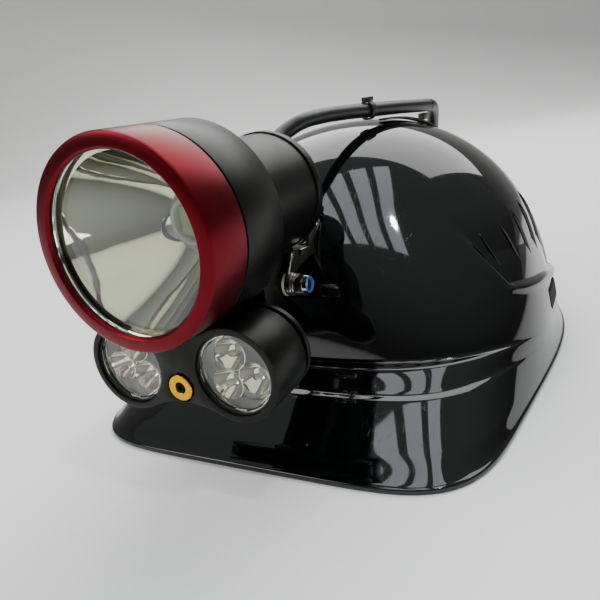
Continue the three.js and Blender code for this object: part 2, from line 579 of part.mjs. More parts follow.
// A thin strip follows the dome under the rear end of the cable, and carries the post.
function stripUnder(s) {
  const [sin, cos] = [Math.sin(crossing), Math.cos(crossing)];
  const edges = [-STRIP.halfWidth, STRIP.halfWidth].map(
    (t) => domeHeight(TIE[0] + s * sin + t * cos, TIE[1] + s * cos - t * sin));
  return Math.max(...edges) + 0.4;
}

function stripSolid() {
  const steps = 18;
  const step = (STRIP.to - STRIP.from) / steps;
  const along = Array.from({ length: steps + 1 }, (_, i) => STRIP.from + step * i);
  const under = along.map((s) => [s, stripUnder(s)]);
  const over = under.map(([s, z]) => [s, z + STRIP.wall]).reverse();
  return overCrown(plateYZ(outline([...under, ...over]), -STRIP.halfWidth, STRIP.halfWidth));
}
piece(helmet, 'guide_strip', solid(stripSolid()), mattBlack);

const POST_S = Math.hypot(POST[0] - TIE[0], POST[1] - TIE[1]) - 5.6;
const postFoot = stripUnder(POST_S - 2.2) + STRIP.wall + GAP;
const postTop = POST[2] - CABLE.radius - GAP;
const postBox = new THREE.BoxGeometry(4.4, 4.4, postTop - postFoot);
const postBlock = at(postBox, 0, POST_S, (postTop + postFoot) / 2);
piece(helmet, 'cable_post', solid(overCrown(postBlock)), smokedPlastic);

// A cable tie round the cable, with its head on top.
const tieRing = { inner: CABLE.radius + 0.5, outer: CABLE.radius + 1.2, half: 1.8 };
const tieBand = at(ring(tieRing.inner, tieRing.outer, -tieRing.half, tieRing.half, 24), 0, 0, TIE[2]);
const tieHead = at(new THREE.BoxGeometry(4.4, 4.4, 2), 0.4, 0, TIE[2] + tieRing.outer + 0.7);
const tieSolid = solid(overCrown(tieBand)).add(solid(overCrown(tieHead)));
piece(helmet, 'cable_tie', tieSolid, mattBlack);

export default root;
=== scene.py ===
# %% [markdown]
# # A miner's cap lamp on a hard hat
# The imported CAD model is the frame: it says where each piece is, how large it is and what moves. This
# script builds the fine surfaces and finishes around it, one piece at a time.

# %% Load the frame
import math
import bmesh
import bpy
from mathutils import Matrix, Quaternion, Vector


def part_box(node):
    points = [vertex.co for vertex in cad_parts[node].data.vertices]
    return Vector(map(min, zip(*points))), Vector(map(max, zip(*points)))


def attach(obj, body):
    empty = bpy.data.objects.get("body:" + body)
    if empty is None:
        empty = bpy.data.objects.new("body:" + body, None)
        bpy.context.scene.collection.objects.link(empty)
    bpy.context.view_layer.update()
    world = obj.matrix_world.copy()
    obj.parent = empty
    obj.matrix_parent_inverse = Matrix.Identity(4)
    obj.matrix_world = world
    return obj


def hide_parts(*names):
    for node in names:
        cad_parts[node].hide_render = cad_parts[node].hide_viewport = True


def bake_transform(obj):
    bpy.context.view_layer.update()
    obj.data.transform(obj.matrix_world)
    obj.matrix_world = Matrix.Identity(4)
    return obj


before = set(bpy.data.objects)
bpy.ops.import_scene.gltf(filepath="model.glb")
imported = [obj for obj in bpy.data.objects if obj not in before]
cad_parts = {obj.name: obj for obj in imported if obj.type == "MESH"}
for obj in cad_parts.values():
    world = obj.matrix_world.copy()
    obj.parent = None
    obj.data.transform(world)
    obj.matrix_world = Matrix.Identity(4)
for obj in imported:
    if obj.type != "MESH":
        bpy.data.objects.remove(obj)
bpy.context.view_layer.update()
MM = 0.001  # the shapes below are written in millimetres

# %% [markdown]
# ## Measures that come from the frame
# The lamp looks along -Y. Its axis runs through the middle of the bezel, and its face is the bezel's front
# plane. The twin lamp hangs under it. Reading both places from the frame keeps every piece where the CAD
# has it.

# %% Where the lamp and the twin are
def box_mm(node):
    """The lowest and highest corner of a CAD node, in millimetres."""
    low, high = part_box(node)
    return low / MM, high / MM


bezel_low, bezel_high = box_mm("bezel_ring")
LAMP = Vector((0, bezel_low.y, (bezel_low.z + bezel_high.z) / 2))
HEAD_RADIUS = (bezel_high.z - bezel_low.z) / 2
twin_low, twin_high = box_mm("twin_housing")
TWIN = Vector((0, twin_low.y, (twin_low.z + twin_high.z) / 2))
BARREL_RADIUS = (twin_high.z - twin_low.z) / 2
BARREL_SPACING = (twin_high.x - twin_low.x) / 2 - BARREL_RADIUS
hat_low, hat_high = box_mm("helmet_shell")
print("lamp face at", tuple(round(x, 1) for x in LAMP), "head radius", round(HEAD_RADIUS, 1))

# %% [markdown]
# ## The camera
# The lamp is seen from the front and the wearer's left, a little from above, with the camera tipped to one
# side. A tilt about the line of sight is one turn after the camera is aimed, so three angles say it all.

# %% Camera
AZIMUTH, ELEVATION, ROLL = math.radians(29.78), math.radians(18.05), math.radians(-8.65)
camera_data = bpy.data.cameras.new("camera")
camera_data.lens = 34.99
camera_data.clip_start = 0.01
camera = bpy.data.objects.new("camera", camera_data)
back = Vector((
    math.sin(AZIMUTH) * math.cos(ELEVATION),
    -math.cos(AZIMUTH) * math.cos(ELEVATION),
    math.sin(ELEVATION),
))
camera.rotation_mode = "QUATERNION"
camera.location = (0.1327, -0.2864, 0.1374)
camera.rotation_quaternion = (-back).to_track_quat("-Z", "Y") @ Quaternion((0, 0, 1), ROLL)
bpy.context.collection.objects.link(camera)
bpy.context.scene.camera = camera
print("camera looks along", tuple(round(-x, 3) for x in back))

# %% [markdown]
# ## Colours and nodes
# Colours are picked as sRGB hex values, as a paint chart gives them, and Blender works in linear light, so
# one function turns them over. A second one adds a node, sets it and links it, so a material reads as a
# short list.

# %% Helpers for materials
def srgb(code):
    """A hex colour as linear red, green, blue and alpha."""
    parts = [int(code[i:i + 2], 16) / 255 for i in (0, 2, 4)]
    return [c / 12.92 if c <= 0.04045 else ((c + 0.055) / 1.055) ** 2.4 for c in parts] + [1.0]


def add(tree, kind, inputs=None, **settings):
    """Adds a node, with its settings, and links or sets its inputs by name or number."""
    made = tree.nodes.new(kind)
    for name, value in settings.items():
        setattr(made, name, value)
    for name, value in (inputs or {}).items():
        if isinstance(value, bpy.types.NodeSocket):
            tree.links.new(value, made.inputs[name])
        else:
            made.inputs[name].default_value = value
    return made


def per(size_mm):
    """The scale of a texture whose features are this large, on Object coordinates in metres."""
    return 1 / (size_mm * MM)


def start(name, colour, roughness, metallic=0.0, **sockets):
    """A material with a Principled shader, and the Object coordinates for its patterns."""
    made = bpy.data.materials.new(name)
    made.use_nodes = True
    made.diffuse_color = srgb(colour)
    tree = made.node_tree
    shader = tree.nodes["Principled BSDF"]
    shader.inputs["Base Color"].default_value = srgb(colour)
    shader.inputs["Roughness"].default_value = roughness
    shader.inputs["Metallic"].default_value = metallic
    for socket, value in sockets.items():
        shader.inputs[socket.replace("_", " ")].default_value = value
    place = add(tree, "ShaderNodeTexCoord").outputs["Object"]
    return made, tree, shader, place


def spread(tree, value, low, high):
    """Maps a 0 to 1 pattern onto a range."""
    return add(tree, "ShaderNodeMapRange", {"Value": value, "To Min": low, "To Max": high}).outputs[0]


def noise(tree, place, size_mm, detail=2.0):
    made = add(tree, "ShaderNodeTexNoise", {"Vector": place, "Scale": per(size_mm), "Detail": detail})
    return made.outputs["Fac"]


def bump(tree, shader, height, depth_mm, strength=1.0):
    """Relief of this depth, from a 0 to 1 pattern."""
    made = add(tree, "ShaderNodeBump", {"Height": height, "Distance": depth_mm * MM, "Strength": strength})
    tree.links.new(made.outputs["Normal"], shader.inputs["Normal"])


def tint(tree, shader, pattern, dark, light):
    """Colours the surface between two hex colours by a pattern."""
    mixed = add(tree, "ShaderNodeMix", {0: pattern, 6: srgb(dark), 7: srgb(light)}, data_type="RGBA")
    tree.links.new(mixed.outputs[2], shader.inputs["Base Color"])


# %% [markdown]
# ## Glossy ABS
# The hat is injection-moulded ABS from a polished tool. The eye sees a black mirror: a clear reflection,
# with hair-fine wiping scratches that show only near a highlight, and a few pale specks of dust. A
# hair-fine line is the crest of a noise stretched a long way in one direction, and four directions make the
# net of scratches. Real ones are hundredths of a millimetre wide. They are drawn about ten times as wide,
# so that they show.

# %% Hat finish
def glossy_abs():
    made, tree, shader, place = start("glossy_moulded_abs", "060708", 0.05, IOR=1.54)
    total = spread(tree, noise(tree, place, 18.0, 4.0), 0.02, 0.07)
    relief = None
    for i in range(4):
        turned_place = add(tree, "ShaderNodeMapping", {
            "Vector": place, "Rotation": (0.7 * i, 1.1 * i, 0.9 * i + 0.3)})
        stretched = add(tree, "ShaderNodeMapping", {
            "Vector": turned_place.outputs[0], "Scale": (per(0.35), per(8.0), per(8.0))})
        hairs = add(tree, "ShaderNodeTexNoise", {"Vector": stretched.outputs[0], "Scale": 1.0, "Detail": 1.0})
        line = add(tree, "ShaderNodeMapRange", {
            "Value": hairs.outputs["Fac"], "From Min": 0.71, "From Max": 0.78, "To Min": 0.0, "To Max": 1.0})
        rough = add(tree, "ShaderNodeMath", {0: line.outputs[0], 1: 0.09, 2: total}, operation="MULTIPLY_ADD")
        total = rough.outputs[0]
        if relief is None:
            relief = line.outputs[0]
        else:
            highest = add(tree, "ShaderNodeMath", {0: relief, 1: line.outputs[0]}, operation="MAXIMUM")
            relief = highest.outputs[0]
    tree.links.new(total, shader.inputs["Roughness"])
    dust = add(tree, "ShaderNodeTexVoronoi", {"Vector": place, "Scale": per(13.0)})
    speck = add(tree, "ShaderNodeMapRange", {
        "Value": dust.outputs["Distance"], "From Min": 0.02, "From Max": 0.04, "To Min": 1.0, "To Max": 0.0})
    tint(tree, shader, speck.outputs[0], "060708", "6d6d67")
    wavy = add(tree, "ShaderNodeBump", {"Height": noise(tree, place, 34.0), "Distance": 0.05 * MM})
    scratched = add(tree, "ShaderNodeBump", {
        "Height": relief, "Distance": 0.003 * MM, "Normal": wavy.outputs["Normal"]}, invert=True)
    tree.links.new(scratched.outputs["Normal"], shader.inputs["Normal"])
    return made


HAT = glossy_abs()
print("made", HAT.name)

# %% [markdown]
# ## Anodised aluminium
# The lamp's parts are turned from aluminium, blasted to a satin and anodised. The dyed oxide keeps a
# metal's reflection and blurs it, so the metallic value is high and the roughness near a third. The blasted
# grain is about 0.1 mm in reality and is drawn at 0.35 mm. The lathe leaves faint rings about the lamp's
# axis.

# %% Anodised finishes
def anodised(name, colour, light, roughness, grain=0.35):
    made, tree, shader, place = start(name, colour, roughness, 0.88)
    centred = add(tree, "ShaderNodeMapping", {"Vector": place, "Location": (0, 0, -LAMP.z * MM)})
    rings = add(tree, "ShaderNodeTexWave", {"Vector": centred.outputs[0], "Scale": per(2.4)},
                wave_type="RINGS", rings_direction="Y")
    grit = noise(tree, place, grain)
    both = add(tree, "ShaderNodeMix", {0: 0.25, 2: grit, 3: rings.outputs["Fac"]}, data_type="FLOAT")
    bump(tree, shader, both.outputs[0], 0.012)
    tree.links.new(spread(tree, noise(tree, place, 9.0, 4.0), roughness - 0.04, roughness + 0.06),
                   shader.inputs["Roughness"])
    tint(tree, shader, noise(tree, place, 14.0, 3.0), colour, light)
    return made


RED = anodised("red_anodised_aluminium", "560510", "6a0a19", 0.32)
BLACK = anodised("black_anodised_aluminium", "1b1c1a", "272825", 0.36)
print("made", RED.name, "and", BLACK.name)

# %% [markdown]
# ## Metals, glass and clear acrylic
# Stainless sheet is polished, with faint streaks left by the wheel. The reflector is vacuum-metallised and
# all but perfectly smooth; a shallow waviness from its moulding breaks up what it reflects. The lens is
# plain glass. The optics of the twin are moulded acrylic, whose index is a little lower than glass.

# %% Bright finishes
def polished(name, colour, roughness, streak_mm=0.8, depth=0.01):
    made, tree, shader, place = start(name, colour, roughness, 1.0)
    stretched = add(tree, "ShaderNodeMapping", {"Vector": place, "Scale": (1, 0.12, 1)})
    streaks = noise(tree, stretched.outputs[0], streak_mm, 3.0)
    tree.links.new(spread(tree, streaks, max(roughness - 0.05, 0.01), roughness + 0.08),
                   shader.inputs["Roughness"])
    bump(tree, shader, streaks, depth)
    return made


def reflector_coat():
    made, tree, shader, place = start("metallised_reflector", "e6e1cf", 0.02, 1.0)
    bump(tree, shader, noise(tree, place, 9.0, 1.0), 0.05)
    tree.links.new(spread(tree, noise(tree, place, 3.0), 0.015, 0.045), shader.inputs["Roughness"])
    return made


def clear(name, colour, ior):
    made, tree, shader, place = start(name, colour, 0.0, IOR=ior, Transmission_Weight=1.0)
    tree.links.new(spread(tree, noise(tree, place, 14.0, 4.0), 0.0, 0.02), shader.inputs["Roughness"])
    return made


STEEL = polished("polished_stainless_steel", "cfccc4", 0.14)
ALUMINIUM = polished("turned_aluminium", "b6b8ba", 0.32)
GOLD = polished("gold_coloured_brass", "d9a21c", 0.26)
BLACK_STEEL = polished("black_oxide_steel", "1c1c1d", 0.35)
MIRROR = reflector_coat()
GLASS = clear("clear_flat_glass", "f3fbf8", 1.5)
ACRYLIC = clear("moulded_acrylic", "f7fafb", 1.49)
print("made the metals, the mirror and the clear parts")

# %% [markdown]
# ## Plastics, rubber and cloth
# The small moulded parts are nylon with a fine spark-eroded texture. The cable's jacket is smooth rubber.
# The straps are woven polyester, ribbed across every 1.2 mm. The sweatband is artificial leather, whose
# pebbled grain is about 1 mm.

# %% Plastics and soft finishes
def moulded(name, colour, light, roughness, grain=0.4, **sockets):
    made, tree, shader, place = start(name, colour, roughness, **sockets)
    bump(tree, shader, noise(tree, place, grain), 0.03)
    tint(tree, shader, noise(tree, place, 8.0, 3.0), colour, light)
    tree.links.new(spread(tree, noise(tree, place, 5.0), roughness - 0.05, roughness + 0.07),
                   shader.inputs["Roughness"])
    return made


def webbing():
    made, tree, shader, place = start("woven_polyester", "232426", 0.85, Sheen_Weight=0.3)
    ribs = add(tree, "ShaderNodeTexWave", {"Vector": place, "Scale": per(1.2) / 6.3, "Distortion": 0.4},
               bands_direction="DIAGONAL")
    bump(tree, shader, ribs.outputs["Fac"], 0.25)
    tint(tree, shader, ribs.outputs["Fac"], "191a1b", "34363a")
    return made


def pebbled_leather():
    made, tree, shader, place = start("artificial_leather", "1f2022", 0.6, Sheen_Weight=0.1)
    pebbles = add(tree, "ShaderNodeTexVoronoi", {"Vector": place, "Scale": per(1.1)})
    bump(tree, shader, pebbles.outputs["Distance"], 0.2)
    tint(tree, shader, pebbles.outputs["Distance"], "17181a", "2a2b2e")
    return made


NYLON = moulded("moulded_black_nylon", "101112", "191a1b", 0.45)
SMOKED = moulded("smoked_plastic", "51483c", "6a5f50", 0.35)
PALE = moulded("natural_nylon", "dcd9ce", "eceade", 0.5)
BLUE = moulded("blue_nylon", "1f56c4", "3c7be6", 0.35)
BOARD = moulded("white_solder_mask", "c9cec4", "dde0d8", 0.45)
PHOSPHOR = moulded("led_phosphor", "a7a878", "c3c28d", 0.35, Coat_Weight=0.6)
JACKET = moulded("rubber_cable_jacket", "0a0c0d", "121516", 0.4, grain=0.7)
RUBBER = moulded("silicone_rubber", "131415", "1c1d1e", 0.65)
WEBBING = webbing()
LEATHER = pebbled_leather()
print("made the plastics, rubbers and cloths")

# %% [markdown]
# ## The battery lead
# The lead leaves the post on the crown, runs down the back of the hat and lies on the floor, where its
# spare length is wound in a coil. A curve with a round bevel is the natural way to draw a cord: the points
# are its centre line, and its length is the real one. The coil's turns come from a loop. Rather more than
# one and a half turns lie on the floor and the rest lies on them.

# %% Helper for cords
CORD = 7.2  # diameter
COIL_CENTRE = Vector((-30, 232, 0))
FLOOR_TURN = CORD / 2 + 0.05


def cord_curve(name, points, material):
    data = bpy.data.curves.new(name, "CURVE")
    data.dimensions = "3D"
    data.bevel_depth = CORD / 2 * MM
    data.bevel_resolution = 6
    data.resolution_u = 8
    data.use_fill_caps = True
    spline = data.splines.new("BEZIER")
    spline.bezier_points.add(len(points) - 1)
    for knot, point in zip(spline.bezier_points, points):
        knot.co = Vector(point) * MM
        knot.handle_left_type = knot.handle_right_type = "AUTO"
    data.materials.append(material)
    made = bpy.data.objects.new(name, data)
    bpy.context.collection.objects.link(made)
    return made


def ease(x, start_at, end_at):
    t = min(1.0, max(0.0, (x - start_at) / (end_at - start_at)))
    return t * t * (3 - 2 * t)


def coil_points():
    """Degrees run on from the +X side: outside, then inside, then on top until the plug's tail."""
    points = []
    for degrees in range(8, 1156, 20):
        radius = 43.8 - 7.4 * ease(degrees, 262, 345) + 3.6 * ease(degrees, 585, 655)
        over = ease(degrees, 575, 640)
        crossing = (math.exp(-(((degrees - 1012) / 60) ** 2) * 2)
                    + math.exp(-(((degrees - 665) / 50) ** 2) * 2))
        height = FLOOR_TURN + over * (6.3 + 0.6 * crossing)
        lifted = 0.85 * math.exp(-(((degrees % 360) - 180) / 22) ** 2)  # room for the tie underneath
        turn = math.radians(degrees)
        from_centre = Vector((radius * math.cos(turn), radius * math.sin(turn), height + lifted))
        points.append(COIL_CENTRE + from_centre)
    return points


# %% [markdown]
# Down the back of the hat the route is a list of points. The coil's turns follow it on the floor, and a
# short tail ends in the plug.

# %% The lead, from the post to the plug
DOWN_THE_BACK = [
    (34.5, 69.5, 128.27), (34.7, 73.6, 127.9), (34.2, 79.5, 126.5), (32.6, 86.8, 123.1), (30, 95, 117.9),
    (27.4, 103.8, 110.9), (25.3, 115, 100.9), (23.8, 127, 88.4), (22.3, 137, 75.5), (21, 146, 60),
    (19.9, 152.8, 45), (19.2, 156.8, 32.7), (18.4, 159.9, 20.4), (17.2, 167.6, 10.5), (15.7, 178.5, 4.9),
    (14.6, 188, 3.75), (14, 203.5, 3.75), (13.9, 220, 3.65),
]
TO_THE_PLUG = [
    (-42, 275.6, 10.1), (-52, 279, 9.6), (-60, 281.4, 8), (-68, 283, 5.2), (-76, 284, 5.4), (-81, 284.5, 7.6),
    (-86, 285, 8.15),
]
lead = cord_curve("battery_lead_cord", [*DOWN_THE_BACK, *coil_points(), *TO_THE_PLUG], JACKET)
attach(lead, "helmet")
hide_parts("battery_lead", "lead_coil", "lead_tail")


def centre_length(curve):
    bare = curve.data.copy()
    bare.bevel_depth = 0
    holder = bpy.data.objects.new("measure", bare)
    line = [v.co for v in bpy.data.meshes.new_from_object(holder).vertices]
    bpy.data.objects.remove(holder)
    return sum((b - a).length for a, b in zip(line, line[1:]))


LEAD_LENGTH = centre_length(lead)
print("the lead is", round(LEAD_LENGTH, 3), "m long")

# %% [markdown]
# ## The cable over the crown
# Between the gland on the lamp and the post the cable is held at both ends, and bends when the lamp tilts.
# It is made here as one mesh from a curve, and the script hangs it on neither body.

# %% Crown cable
OVER_THE_CROWN = [
    (0, -54.2, 124.6), (0.7, -49, 127.2), (2.6, -43.5, 129.4), (5, -38.3, 131.1), (8.8, -24.5, 132.2),
    (13.9, -6.3, 132), (19, 11.9, 131.2), (26.1, 35.5, 130.2), (31.6, 55, 129), (34.4, 69, 128.3),
]
crown_curve = cord_curve("crown_curve", OVER_THE_CROWN, JACKET)
crown_mesh = bpy.data.meshes.new_from_object(crown_curve.evaluated_get(bpy.context.evaluated_depsgraph_get()))
bpy.data.objects.remove(crown_curve)
crown_cable = bpy.data.objects.new("crown_cable", crown_mesh)
bpy.context.collection.objects.link(crown_cable)
for polygon in crown_mesh.polygons:
    polygon.use_smooth = True
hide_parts("lamp_cable")
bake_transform(crown_cable)
print("crown cable:", len(crown_mesh.vertices), "points")

# %% [markdown]
# ## Helpers for pieces
# Each piece is a bmesh in millimetres. One function softens its hard edges, since no real edge is razor
# sharp, and one makes it an object: it puts the shape in place, turns the faces outwards, shades it, hangs
# it on the body it rides on and hides the CAD node it stands for.

# %% Make a piece of a bmesh
def hard_edges(bm, degrees=35):
    return [e for e in bm.edges if len(e.link_faces) == 2 and e.calc_face_angle(0) > math.radians(degrees)]


def soften(bm, width, degrees=35, segments=2):
    bmesh.ops.bevel(bm, geom=hard_edges(bm, degrees), offset=width, offset_type="OFFSET", affect="EDGES",
                    segments=segments, profile=0.5, material=-1, clamp_overlap=True)


def piece(name, bm, material, body, nodes=(), at=(0, 0, 0), crease=32):
    bmesh.ops.translate(bm, verts=bm.verts, vec=at)
    bmesh.ops.scale(bm, verts=bm.verts, vec=(MM, MM, MM))
    bmesh.ops.recalc_face_normals(bm, faces=bm.faces)
    for face in bm.faces:
        face.smooth = True
    for edge in hard_edges(bm, crease):
        edge.smooth = False
    loose = sum(1 for e in bm.edges if len(e.link_faces) != 2)
    mesh = bpy.data.meshes.new(name)
    bm.to_mesh(mesh)
    bm.free()
    mesh.materials.append(material)
    made = bpy.data.objects.new(name, mesh)
    bpy.context.collection.objects.link(made)
    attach(made, body)
    if nodes:
        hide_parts(*nodes)
    print(f"{name}: {len(mesh.polygons)} faces, {loose} open edges")
    return made


def turned(corners, steps=96):
    """A closed piece turned about Y, from (radius, along) corners."""
    bm = bmesh.new()
    verts = [bm.verts.new((r, along, 0)) for r, along in corners]
    edges = [bm.edges.new(pair) for pair in zip(verts, verts[1:])]
    if corners[0][0] > 0:
        edges.append(bm.edges.new((verts[-1], verts[0])))
    bmesh.ops.spin(bm, geom=verts + edges, cent=(0, 0, 0), axis=(0, 1, 0), angle=2 * math.pi, steps=steps,
                   use_merge=True)
    bmesh.ops.remove_doubles(bm, verts=bm.verts, dist=1e-4)
    return bm


def plate(loops, thickness):
    """A plate drawn in X and Z, with holes, whose front is at y = 0."""
    bm = bmesh.new()
    edges = []
    for loop in loops:
        verts = [bm.verts.new((x, 0, z)) for x, z in loop]
        edges += [bm.edges.new(pair) for pair in zip(verts, verts[1:] + verts[:1])]
    bmesh.ops.triangle_fill(bm, edges=edges, use_beauty=True)
    copied = bmesh.ops.extrude_face_region(bm, geom=bm.faces[:], use_keep_orig=True)
    moved = [v for v in copied["geom"] if isinstance(v, bmesh.types.BMVert)]
    bmesh.ops.translate(bm, verts=moved, vec=(0, thickness, 0))
    return bm


def merged_copy(node, width, degrees=35):
    """A copy of a CAD node with its triangles merged, its flats joined and its hard edges softened."""
    bm = bmesh.new()
    bm.from_mesh(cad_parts[node].data)
    bmesh.ops.scale(bm, verts=bm.verts, vec=(1 / MM, 1 / MM, 1 / MM))
    bmesh.ops.remove_doubles(bm, verts=bm.verts, dist=0.002)
    bmesh.ops.dissolve_limit(bm, angle_limit=math.radians(1), verts=bm.verts, edges=bm.edges)
    soften(bm, width, degrees)
    return bm


def circle(radius, centre=(0, 0), count=96):
    turns = [2 * math.pi * i / count for i in range(count)]
    return [(centre[0] + radius * math.cos(t), centre[1] + radius * math.sin(t)) for t in turns]


# %% [markdown]
# ## The hard hat
# A moulded shell is one skin that changes from dome to peak. A profile spun about the upright axis gives a
# disc of rings and sectors. Each ring is then moved to its place on the dome, the flange, the rounded rim
# or the inner skin, so the mesh is closed and its lines flow round the hat. The outline is the CAD's: a
# round crown that grows squarer in front, and a flange that runs out into a long square peak.

# %% Hat measures
DOME = {"centre": 30.5, "half": 107, "front": 104, "rear": 125, "top": hat_high.z, "power": 2.2, "wall": 2.6}
RIM = {"half": hat_high.x, "front": DOME["centre"] - hat_low.y, "rear": hat_high.y - DOME["centre"]}
RIM_EDGE, RIM_LAND, RIM_TAPER = 2.6, 2.2, 0.085
SECTORS, DOME_ROWS, FLANGE_ROWS, INNER_ROWS = 448, 140, 34, 26


def reach(theta, half, front, rear, power):
    across = abs(math.sin(theta)) / half
    along = abs(math.cos(theta)) / (front if math.cos(theta) > 0 else rear)
    return (across ** power + along ** power) ** (-1 / power)


def dome_radius(theta, z, inset=0.0):
    share = min(1.0, max(0.0, z / (DOME["top"] - inset)))
    scale = (1 - share ** DOME["power"]) ** (1 / DOME["power"])
    power = 2 + 1.6 * ease(-z, -90, 0) if math.cos(theta) > 0 else 2
    return scale * reach(theta, DOME["half"] - inset, DOME["front"] - inset, DOME["rear"] - inset, power)


def on_hat(theta, radius, z):
    return Vector((radius * math.sin(theta), DOME["centre"] - radius * math.cos(theta), z))


# %% [markdown]
# The sides carry a vent panel: the skin sinks in towards a ledge at its lower edge, and fades out at the
# top. The front of the peak has a raised panel behind a crease, with a rounded ledge where the dome meets
# it. These are small pushes of the skin along its own direction, written as smooth steps of angle and
# height.

# %% Relief of the skin
def panel_foot(degrees):
    """The height of the vent panel's lower edge, which falls towards the rear."""
    return 48.7 - 0.34 * (degrees - 59.5)


def vent_depth(theta, z):
    degrees = abs(math.degrees(theta))
    lower = panel_foot(degrees)
    front = 53 + 0.33 * (68.5 - z)
    return (4.2 * ease(degrees, front - 0.8, front + 1.6) * (1 - ease(degrees, 108, 114))
            * ease(z, lower - 0.9, lower + 0.9) * (1 - ease(z, lower + 3, 82)))


def ledge_rise(theta, z):
    degrees = abs(math.degrees(theta))
    lower = panel_foot(degrees)
    return (0.9 * ease(degrees, 56, 60) * (1 - ease(degrees, 110, 116))
            * ease(z, lower - 3.6, lower - 2.4) * (1 - ease(z, lower - 0.9, lower + 0.4)))


def flange_rise(theta, share):
    ahead = ease(math.cos(theta), 0.0, 0.85)
    ledge = 1.7 * ease(share, 0.0, 0.1) * (1 - ease(share, 0.12, 0.34))
    panel = 0.9 * ease(share, 0.3, 0.36) * (1 - ease(share, 0.8, 0.97))
    return ahead * (ledge + panel)


# %% [markdown]
# One function places a point of each ring. The rows are listed from the crown down the outside, round the
# rim, and back up the inside to the crown.

# %% Rows of the hat and the place of each point
def junction(theta):
    return 10 + 18 * ease(math.cos(theta), -0.25, 0.75)


def rim_point(theta, inset, z):
    power = 6 if math.cos(theta) > 0 else 2.1
    edge = reach(theta, RIM["half"] - inset, RIM["front"] - inset, RIM["rear"] - inset, power)
    point = on_hat(theta, edge, z)
    point.x *= 1 - RIM_TAPER * ease(DOME["centre"] - point.y, 0, 115)
    return point


def dome_point(theta, share, inset):
    joint = junction(theta) - 0.9 * inset
    crown = DOME["top"] - inset
    start_at = math.asin((joint / crown) ** (DOME["power"] / 2))
    turn = math.pi / 2 - (math.pi / 2 - start_at) * share
    z = crown * math.sin(turn) ** (2 / DOME["power"])
    push = 0 if inset else ledge_rise(theta, z) - vent_depth(theta, z)
    return on_hat(theta, 0 if share == 0 else dome_radius(theta, z, inset) + push, z)


def flange_point(theta, share, inset):
    joint = junction(theta) - 0.9 * inset
    from_dome = on_hat(theta, dome_radius(theta, joint, inset), joint)
    to_rim = rim_point(theta, RIM_LAND if inset else 0.9, 0 if inset else RIM_EDGE)
    point = from_dome.lerp(to_rim, share)
    if not inset:
        point.z += flange_rise(theta, share)
    return point


ROWS = [("dome", i / DOME_ROWS, 0) for i in range(DOME_ROWS + 1)]
ROWS += [("flange", i / FLANGE_ROWS, 0) for i in range(1, FLANGE_ROWS + 1)]
ROWS += [("rim", turn, 0.9) for turn in (60, 30, 0)] + [("rim", turn, 0.7) for turn in (-30, -60, -90)]
ROWS += [("flange", 1 - i / 8, DOME["wall"]) for i in range(8)]
ROWS += [("dome", 1 - i / INNER_ROWS, DOME["wall"]) for i in range(INNER_ROWS + 1)]


def hat_point(row, theta):
    part, share, inset = ROWS[row]
    if part == "dome":
        return dome_point(theta, share, inset)
    if part == "flange":
        return flange_point(theta, share, inset)
    turn = math.radians(share)
    middle = RIM_EDGE - inset if share >= 0 else inset
    return rim_point(theta, inset * (1 - math.cos(turn)), middle + inset * math.sin(turn))


# %% [markdown]
# The profile has one point for each row, at a height equal to the row's number. After the spin each point
# therefore knows its row from its height, and its sector from its angle.

# %% Spin the profile and place its rings
def hat_shell():
    bm = bmesh.new()
    last = len(ROWS) - 1
    verts = [bm.verts.new((0 if i in (0, last) else 1, 0, i)) for i in range(last + 1)]
    edges = [bm.edges.new(pair) for pair in zip(verts, verts[1:])]
    bmesh.ops.spin(bm, geom=verts + edges, cent=(0, 0, 0), axis=(0, 0, 1), angle=2 * math.pi, steps=SECTORS,
                   use_merge=True)
    bmesh.ops.remove_doubles(bm, verts=bm.verts, dist=1e-5)
    for vert in bm.verts:
        vert.co = hat_point(round(vert.co.z), math.atan2(vert.co.x, -vert.co.y))
    return bm


hat = piece("hard_hat", hat_shell(), HAT, "helmet", ["helmet_shell"], crease=75)

# %% [markdown]
# ## Ribs in the vents and the accessory slots
# The ribs are thin fins that stand in the sunk panel. Each is a row of small cross-sections bridged along
# the dome, so a fin follows the skin however it curves. Low on each side a group of short fins marks the
# slot that takes ear defenders.

# %% Ribs
def fin(bm, theta_from, theta_to, z_from, z_to, width, proud, steps=14):
    """A fin that runs along the skin, from one angle and height to another."""
    rings = []
    for i in range(steps + 1):
        share = i / steps
        theta = math.radians(theta_from + (theta_to - theta_from) * share)
        z = z_from + (z_to - z_from) * share
        taper = min(1.0, 6 * share, 6 * (1 - share)) ** 0.5 if 0 < share < 1 else 0.05
        skin = on_hat(theta, dome_radius(theta, z) - vent_depth(theta, z) - 0.8, z)
        outwards = Vector((math.sin(theta), -math.cos(theta), 0.25)).normalized()
        sideways = Vector((math.cos(theta), math.sin(theta), 0))
        top = 0.8 + proud * taper
        rings.append([bm.verts.new(skin + sideways * width * s + outwards * h) for s, h in
                      ((-0.5, 0), (-0.4, top * 0.85), (0, top), (0.4, top * 0.85), (0.5, 0))])
    for a, b in zip(rings, rings[1:]):
        for j in range(5):
            bm.faces.new((a[j], a[(j + 1) % 5], b[(j + 1) % 5], b[j]))
    bm.faces.new(rings[0])
    bm.faces.new(rings[-1])


for side_name, side in (("left", 1), ("right", -1)):
    ribs = bmesh.new()
    for degrees in (58, 68, 78, 88, 98):
        fin(ribs, side * degrees, side * (degrees + 3.5), 71 + 0.2 * (degrees - 58),
            50 - 0.34 * (degrees - 58), 0.8, 0.9)
    for degrees in (82, 84.5, 87, 89.5, 92):
        fin(ribs, side * degrees, side * degrees, 34, 22, 0.8, 0.7, 8)
    piece("vent_ribs_" + side_name, ribs, HAT, "helmet", crease=60)

